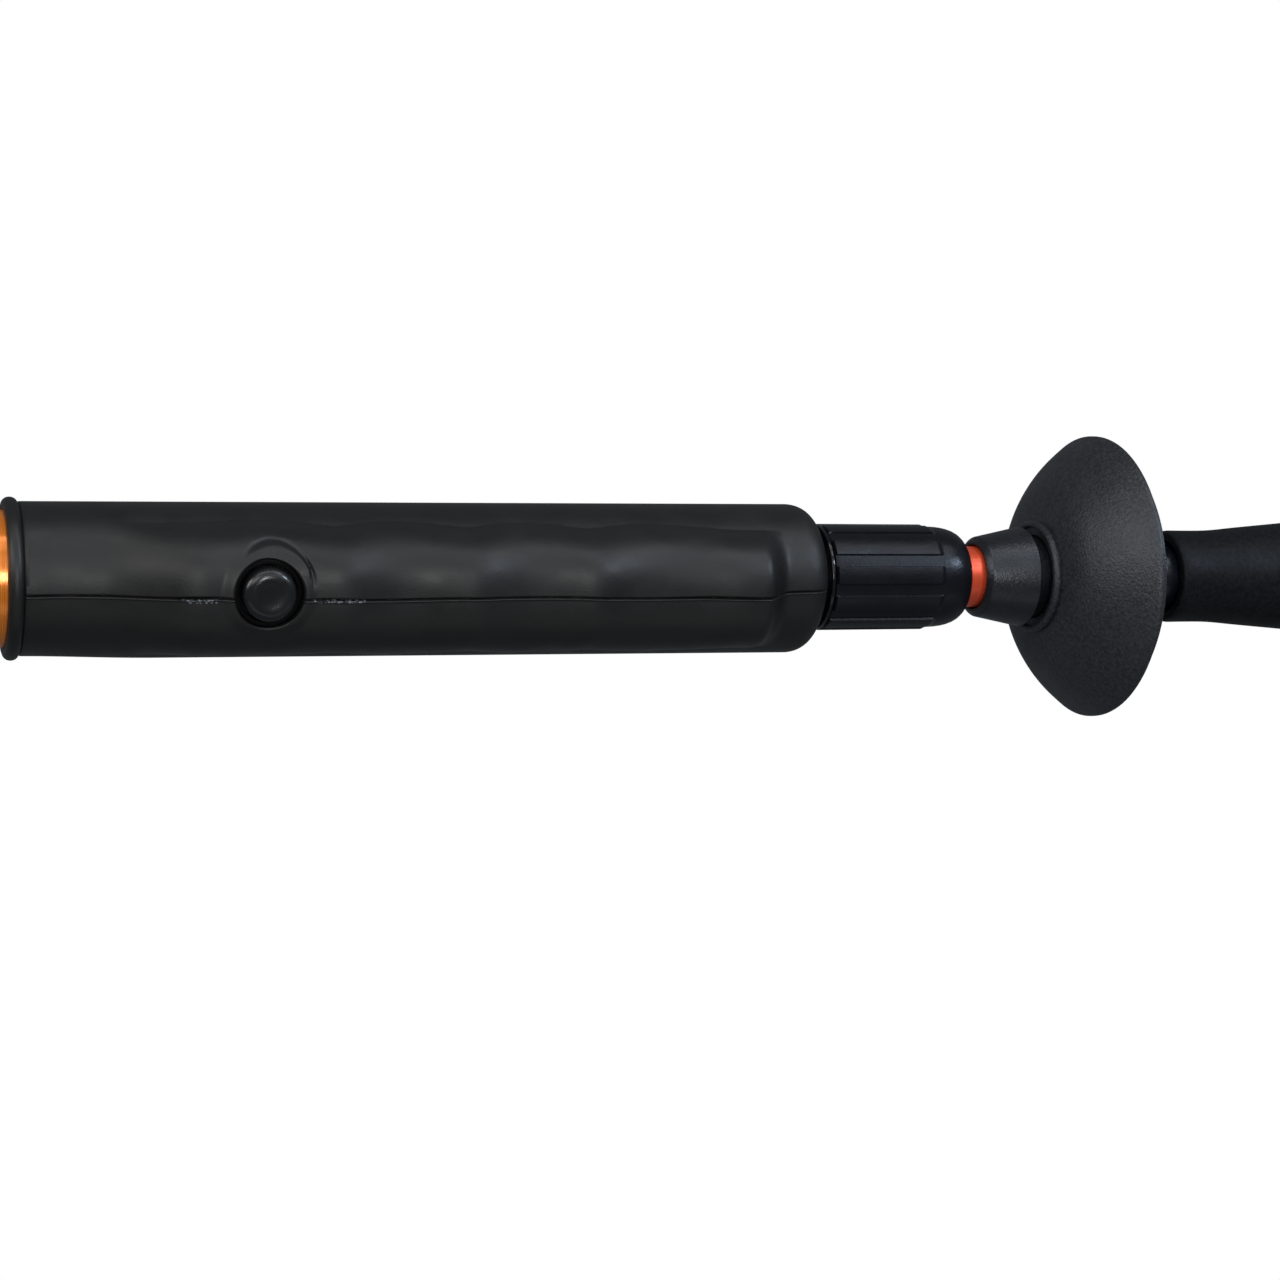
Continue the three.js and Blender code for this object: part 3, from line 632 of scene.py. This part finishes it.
def add_grip():
    """The grip's turned skin, with a window cut in it that the button's boss and its hole fill."""
    rows = grip_rows()
    angles = grip_angles()
    end = GRIP_END - SHOULDER
    body_start = GRIP_BACK + BEAD_LENGTH + 0.2

    def shape(x, radius, angle):
        lifted = radius + (grip_radius(x, angle) - base_radius(x))
        body = (x > body_start) & (radius > END_R - 0.01)
        return np.where(body, lifted, radius)

    points, faces = revolve(rows, angles, shape)
    across = len(angles)
    grid = np.arange(len(points)).reshape(len(rows), across)
    outer = [i for i, (x, radius) in enumerate(rows) if body_start < x <= end and radius > 13]
    window_length, window_turn = 11, math.radians(46)
    window_rows = [i for i in outer if abs(rows[i][0] - BUTTON_X) < window_length]
    window_cols = [j for j in range(across) if abs(angles[j]) < window_turn]
    i0, i1, j0, j1 = window_rows[0], window_rows[-1], window_cols[0], window_cols[-1]
    inside = set(grid[i, j] for i in range(i0 + 1, i1) for j in range(j0 + 1, j1))
    kept = [face for face in faces if not any(v in inside for v in face)]

    loop = [grid[i0, j] for j in range(j0, j1)] + [grid[i, j1] for i in range(i0, i1)]
    loop += [grid[i1, j] for j in range(j1, j0, -1)] + [grid[i, j0] for i in range(i1, i0, -1)]
    rings = boss_rings(points[loop][:, [0, 2]])
    first, count = len(points), len(loop)
    points = np.concatenate([points, *rings])
    previous = loop
    for k in range(len(rings)):
        current = [first + k * count + n for n in range(count)]
        for n in range(count):
            m = (n + 1) % count
            kept.append((previous[n], previous[m], current[m], current[n]))
        previous = current
    make_piece("grip_skin", points, kept, GRIP_RUBBER, "handle", ["rubber_grip"], 50)


# ---- button --------------------------------------------------------------------------------------
BUTTON_R = 4.72


def add_button():
    """The push-button: a dished top with a rounded rim, a flange that keeps it in and a stem."""
    top, radius = BUTTON_TOP, BUTTON_R
    dish_r, crest_r, drop = 2.4, 2.85, 1.5
    dish = [(top - 0.17 + 0.15 * (r / dish_r) ** 2.4, r) for r in np.linspace(0.01, dish_r, 10)]
    rim = [(top - drop * (1 - math.cos(turn)), crest_r + (radius - crest_r) * math.sin(turn))
           for turn in np.linspace(0, math.pi / 2, 10)]
    flange_r, flange_top, flange_foot, stem_r, stem_foot = 5.2, 14.6, 13.5, 1.6, 9.0
    skirt = [(flange_top, radius + 0.05), (flange_top, flange_r), (flange_foot, flange_r),
             (flange_foot, stem_r), (stem_foot, stem_r), (stem_foot, 0.01)]
    standing_piece("button_top", dish + rim + skirt, BUTTON_RUBBER, "button", ["button_cap"])


def add_button_surround():
    """The ring that fills the recess between the button and the grip: its own black, made darker and duller as
    painted shade for the deep recess.
    """
    foot, top = 14.9, 16.0
    inner, outer = BUTTON_R + GAP, RECESS_R - 0.06
    ring = rounded([(foot, inner), (foot, outer), (top, outer, 0.15), (top, inner, 0.3)])
    ring.append(ring[0])
    standing_piece("button_surround", ring, RECESS_PAINTED_SHADE, "handle", ["button_bezel"])


# ---- barrel, collar ring and front bush ----------------------------------------------------------
def add_barrel():
    bore = BARREL_R - 1.2
    turned_piece("barrel_tube", rounded([
        (BARREL_BACK, bore, 0.2), (BARREL_BACK, BARREL_R, 0.35), (BARREL_FRONT, BARREL_R, 0.3),
        (BARREL_FRONT, bore, 0.2)]), BARREL_FINISH, "handle", ["barrel"], 256)


def add_ring():
    turned_piece("gloss_ring", rounded([
        (RING_BACK, SLEEVE_BORE), (RING_BACK, RING_R, 0.35), (RING_FRONT, RING_R, 0.35),
        (RING_FRONT, SLEEVE_BORE)]),
        GLOSS_BLACK, "handle", ["collar_ring"], 192)


def add_bush():
    """The barrel's front bush: a plug in the barrel, a flange against its end and a nose in the sleeve."""
    plug, nose, clear = 10.4, 8.6, TUBE_R + GAP
    flange_back, flange_front, seat = 68.3, 70, 84
    turned_piece("bush", rounded([
        (BUSH_BACK, clear), (BUSH_BACK, plug, 0.3), (flange_back, plug), (flange_back, BUSH_R, 0.3),
        (flange_front, BUSH_R, 0.3), (flange_front, nose, 0.3), (BUSH_FRONT, nose, 0.2), (BUSH_FRONT, 8.2),
        (seat, 6.9), (seat, clear)]),
        BLACK_PLASTIC, "handle", ["front_bush"], 144)


# ---- twist-lock sleeve ---------------------------------------------------------------------------
PANELS = 11
PANEL_HALF = 0.305 * TURN / PANELS
PANEL_END = 99.7
PANEL_RISE = 0.42


def panel_lift(x, angle):
    """1 on a raised panel and 0 between them, fading out at the front end."""
    pitch = TURN / PANELS
    turn = np.abs((angle + pitch / 2) % pitch - pitch / 2)
    side = (turn - PANEL_HALF) * SLEEVE_R
    return (1 - smoothstep(-0.14, 0.06, side)) * (1 - smoothstep(-1.1, 0.25, x - PANEL_END))


def add_sleeve():
    """The twist-lock sleeve: a round core with raised panels, and a smooth nose."""
    core = SLEEVE_R - PANEL_RISE
    pitch = TURN / PANELS
    below, above = PANEL_HALF - 0.04, PANEL_HALF + 0.03
    local = np.concatenate([
        np.linspace(-pitch / 2, -above, 5)[:-1], np.linspace(-above, -below, 9)[:-1],
        np.linspace(-below, below, 9)[:-1], np.linspace(below, above, 9)[:-1],
        np.linspace(above, pitch / 2, 5)[:-1]])
    first = math.radians(13.8)
    angles = np.concatenate([local + first + i * pitch for i in range(PANELS)])
    xs = np.concatenate([np.linspace(SLEEVE_BACK + 0.4, PANEL_END - 1.6, 30)[:-1],
                         np.linspace(PANEL_END - 1.6, PANEL_END + 0.3, 20)])
    nose = [(100.6, core), (101.6, core - 0.06), (102.7, core - 0.19), (103.7, core - 0.4),
            (104.6, core - 0.69), (105.4, core - 1.08), (106.0, core - 1.55), (106.45, core - 2.1),
            (106.72, 7.15), (SLEEVE_FRONT, 6.8), (SLEEVE_FRONT - 0.12, 6.42)]
    bore_end = 103.8
    profile = [(SLEEVE_BACK + 0.1, SLEEVE_BORE), (SLEEVE_BACK, 9.1), (SLEEVE_BACK, core - 0.3),
               (SLEEVE_BACK + 0.12, core - 0.05)]
    profile += [(x, core) for x in xs] + nose + [(bore_end, 6.4), (bore_end, SLEEVE_BORE)]

    def shape(x, radius, angle):
        lift = panel_lift(x, angle - first)
        return radius + np.where(radius > core - 0.01, PANEL_RISE * lift, 0)

    points, faces = revolve(profile, angles, shape)
    make_piece("twist_sleeve", points, faces, BLACK_PLASTIC, "lock_sleeve", ["lock_sleeve"],
               50)


# ---- sliding tube, ferrule and probe housing -----------------------------------------------------
def add_tube():
    bore = TUBE_R - 1
    turned_piece("slide_tube", rounded([
        (TUBE_BACK, bore, 0.2), (TUBE_BACK, TUBE_R, 0.3), (TUBE_FRONT, TUBE_R, 0.3),
        (TUBE_FRONT, bore, 0.2)]), TUBE_FINISH, "lower_tube", ["lower_tube"], 192)


def add_ferrule():
    """The cone behind the basket: a chamfered mouth round the tube, and a spigot that carries the basket."""
    clear, spigot = TUBE_R + 0.06, 8.0
    wide_x = 120.9
    turned_piece("ferrule", rounded([
        (FERRULE_BACK + 0.7, clear), (FERRULE_BACK + 0.1, 6.4, 0.1), (FERRULE_BACK, 6.8, 0.1),
        (FERRULE_BACK + 0.95, 7.9, 0.25), (wide_x - 0.5, 9.85, 0.3), (wide_x, 9.5, 0.25), (wide_x, spigot),
        (FERRULE_FRONT, spigot, 0.3), (FERRULE_FRONT, clear)]),
        FERRULE_PLASTIC, "lower_tube", ["tip_ferrule"], 192)


def add_housing():
    """The probe's hollow housing: a plug in the tube, a shoulder and a rounded tip."""
    end = HOUSING_FRONT
    plug, plug_end = TUBE_R - 1.3, 141.3
    shoulder, bore, lead_hole = 146.9, 4.9, 1.6
    turned_piece("housing", rounded([
        (HOUSING_BACK, lead_hole), (HOUSING_BACK, plug, 0.2), (plug_end, plug), (plug_end, TUBE_R, 0.2),
        (shoulder, TUBE_R), (shoulder, HOUSING_R, 0.3), (end - 4.5, HOUSING_R, 2), (end - 1.6, 5.2, 2),
        (end, 2.6, 1.6), (end, 0.01), (end - 3, 0.01), (end - 3, 3.4), (end - 5, bore), (shoulder + 1, bore),
        (shoulder + 1, lead_hole)]),
        TIP_PLASTIC, "lower_tube", ["probe_housing"], 144)


# ---- guard basket and nut ------------------------------------------------------------------------
HUB_BORE = 8.3


def curve(points, count):
    """A smooth line of count places through a few points."""
    knots = np.array(points)
    reach = np.concatenate([[0], np.cumsum(np.linalg.norm(np.diff(knots, axis=0), axis=1))])
    at = np.linspace(0, reach[-1], count)
    line = np.stack([np.interp(at, reach, knots[:, k]) for k in (0, 1)], -1)
    return [tuple(place) for place in smoothed(line, 40)]


def add_basket():
    """The domed guard: a small collar, the dome out to its rim, a lip, and the hollow side with its hub."""
    back = BASKET_BACK
    rim_x, lip_x, lip_r, lip_wall = 136.0, 139.0, 25.3, 1.2
    hub_r = 10.6
    dome = [(124.25, 11.1), (124.86, 14), (125.73, 17), (127.6, 20), (129.58, 22.5), (131.45, 24.5),
            (133.39, 26.2), (135.17, 27.4), (rim_x, BASKET_R)]
    lip = rounded([(rim_x, BASKET_R), (rim_x + 0.9, BASKET_R, 0.4), (rim_x + 1.0, lip_r, 0.3),
                   (lip_x, lip_r, 0.4), (lip_x, lip_r - lip_wall, 0.3), (135.0, lip_r - lip_wall)], False)
    inside = [(134.4, 24.0), (132.6, 22.9), (130.8, 21.2), (129.2, 19.2), (127.9, 17.0),
              (127.0, 14.8), (126.4, 12.4), (126.5, 10.9)]

    collar = [(back + 0.9, 9.9), (back + 0.15, 9.95), (back, 10.15), (back, 10.5), (back + 0.12, 10.85),
              (back + 0.45, 11.1), (back + 1.1, 11.14), (back + 1.4, 11.05), (back + 1.52, 10.95)]
    profile = collar + curve(dome, 48) + lip[1:]
    hub = rounded([(127, hub_r), (BASKET_FRONT, hub_r, 0.5), (BASKET_FRONT, HUB_BORE)], False)
    profile += curve(inside, 44) + hub + [(back + 0.9, HUB_BORE)]
    turned_piece("guard_basket", profile, BASKET_PLASTIC, "basket", ["basket"], 224)


def add_nut():
    """The stepped nut that holds the basket, with finger notches round its wide step."""
    notches, notch_half, notch_depth = 6, 3.0, 1.2
    step_x, step_r = 144.3, 13.0
    notch_floor = step_r + 0.5

    def notched(x, radius, angle):
        pitch = TURN / notches
        turn = np.abs((angle + pitch / 2) % pitch - pitch / 2) * radius
        dip = np.clip(1 - (turn / notch_half) ** 2, 0, 1) ** 0.7
        cut = notch_depth * dip * smoothstep(notch_floor, notch_floor + 2, radius)
        return radius - np.where(radius > notch_floor, cut, 0)

    turned_piece("nut", rounded([
        (NUT_BACK, HUB_BORE), (NUT_BACK, NUT_R, 0.9), (step_x, NUT_R, 0.5), (step_x, step_r, 0.3),
        (NUT_FRONT, step_r, 0.5), (NUT_FRONT, 9.4, 0.3), (NUT_FRONT - 0.8, 8.9),
        (NUT_FRONT - 0.8, HUB_BORE)]),
        BLACK_PLASTIC, "lower_tube", ["basket_nut"], 240, notched)


# ---- rubber boot ---------------------------------------------------------------------------------
def add_boot():
    """The boot over the tip: a rolled mouth, a flaring body and a toe with two ring-shaped treads."""
    back, end = BOOT_BACK, BOOT_FRONT
    outline = [(154.4, 9.3), (159.0, 9.27), (163.6, 9.3), (165.6, 9.48), (168.4, 9.8), (173.0, 10.22),
               (178.0, 10.65), (183.0, 11.1), (190.0, 11.75), (196.0, 12.25), (202.0, BOOT_R - 0.05)]
    knots = np.array(outline)
    xs = np.linspace(knots[0, 0], knots[-1, 0], 60)
    radii = smoothed(np.interp(xs, knots[:, 0], knots[:, 1]), 12)
    lip = [(back + 0.5, 7.25), (back + 0.12, 7.5), (back, 7.9), (back, 8.55), (back + 0.15, 8.9),
           (back + 0.5, 9.1), (back + 1.0, 9.2)]
    floor = end - 0.9
    toe = rounded([(end - 8, BOOT_R), (end, BOOT_R, 2.2), (end, 10.2, 0.2), (floor, 9.8, 0.2),
                   (floor, 8.6, 0.2), (end, 8.2, 0.2), (end, 6.0, 0.2), (floor, 5.6, 0.2),
                   (floor, 4.6, 0.2), (end, 4.2, 0.2), (end, 0.01)], False)
    bore = [(207, 0.01), (207, 6.5), (162, 6.5), (160, 7.2)]
    profile = lip + list(zip(xs, radii)) + toe + bore
    turned_piece("boot", profile, BOOT_RUBBER, "rubber_boot", ["rubber_boot"], 192)


# ---- tail cap and seal ---------------------------------------------------------------------------
def add_tail_cap():
    """The screw cap: a fluted rim, a threaded spigot and the well for its spring."""
    flange, spigot = -151.5, 10.35
    thread_back, thread_front, pitch, ridge = -149.4, -143.4, 1.5, 0.28
    well_floor, well_r = -160, 9.0
    profile = rounded([(CAP_BACK, 0.01), (CAP_BACK, 10.9), (CAP_BACK + 0.35, 11.5),
                       (CAP_BACK + 1.3, CAP_R, 0.5)], False)
    profile += [(x, CAP_R) for x in np.linspace(CAP_BACK + 2, flange - 0.6, 24)]
    profile += [(flange - 0.2, CAP_R - 0.12), (flange, CAP_R - 0.45), (flange, 10.2), (-149.9, 10.0)]
    profile += [(x, spigot - ridge) for x in np.linspace(thread_back, thread_front, 60)]
    profile += [(CAP_FRONT, 10.0), (CAP_FRONT, well_r), (well_floor, well_r), (well_floor, 0.01)]

    flutes, flute_half, flute_depth = 12, 1.7, 0.85

    def shape(x, radius, angle):
        step = TURN / flutes
        turn = np.abs((angle + step / 2) % step - step / 2) * CAP_R
        dip = np.sqrt(np.clip(1 - (turn / flute_half) ** 2, 0, 1))
        reach = smoothstep(CAP_BACK + 2.2, CAP_BACK + 4.2, x)
        reach = reach * (1 - smoothstep(flange + 0.2, flange + 0.3, x))
        fluted = radius - np.where(radius > CAP_R - 0.6, flute_depth * dip * reach, 0)
        phase = (x / pitch + angle / TURN) % 1
        tooth = np.clip(1 - np.abs(phase - 0.5) * 3.4, 0, 1)
        taper = smoothstep(thread_back, thread_back + 0.8, x)
        taper = taper * (1 - smoothstep(thread_front - 0.8, thread_front, x))
        on_thread = (x > thread_back - 0.1) & (x < thread_front + 0.1)
        on_thread &= np.abs(radius - (spigot - ridge)) < 0.01
        return fluted + np.where(on_thread, ridge * 1.15 * tooth * taper, 0)

    turned_piece("end_cap", profile, BLACK_PLASTIC, "tail_cap", ["tail_cap"], 264, shape,
                 sharp=50)


def add_seal():
    middle, section = (SEAL_BACK + SEAL_FRONT) / 2, (SEAL_FRONT - SEAL_BACK) / 2
    ring = [(middle + section * math.cos(t), SEAL_R - section + section * math.sin(t))
            for t in even_angles(16)]
    turned_piece("seal_ring", ring, GLOSS_BLACK, "cap_seal", ["cap_seal"], 144)


# ---- CAD nodes that stay, with their own materials -----------------------------------------------
def dress_cad():
    dressed = {
        "electronics_chassis": NYLON, "battery_liner": NYLON, "split_collet": NYLON, "tube_stopper": NYLON,
        "coil_bobbin": NYLON, "circuit_board": BOARD, "processor_chip": COMPONENT, "buzzer": COMPONENT,
        "switch_plunger": COMPONENT, "tact_switch": STEEL, "board_screw_1": STEEL, "board_screw_2": STEEL,
        "vibration_motor": STEEL, "cap_spring": STEEL, "eccentric_weight": NICKEL, "battery_contact": NICKEL,
        "cap_contact": NICKEL, "battery_cell_1": CELL_WRAP, "battery_cell_2": CELL_WRAP, "tube_wiper": FELT,
        "ferrite_rod": FERRITE, "coil_winding": COPPER, "tip_lead": LEAD_SHEATH, "coiled_lead": LEAD_SHEATH,
    }
    for node, material in dressed.items():
        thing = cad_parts[node]
        thing.data.materials.clear()
        thing.data.materials.append(material)


add_grip()
add_button()
add_button_surround()
add_barrel()
add_ring()
add_bush()
add_sleeve()
add_tube()
add_ferrule()
add_housing()
add_basket()
add_nut()
add_boot()
add_tail_cap()
add_seal()
dress_cad()
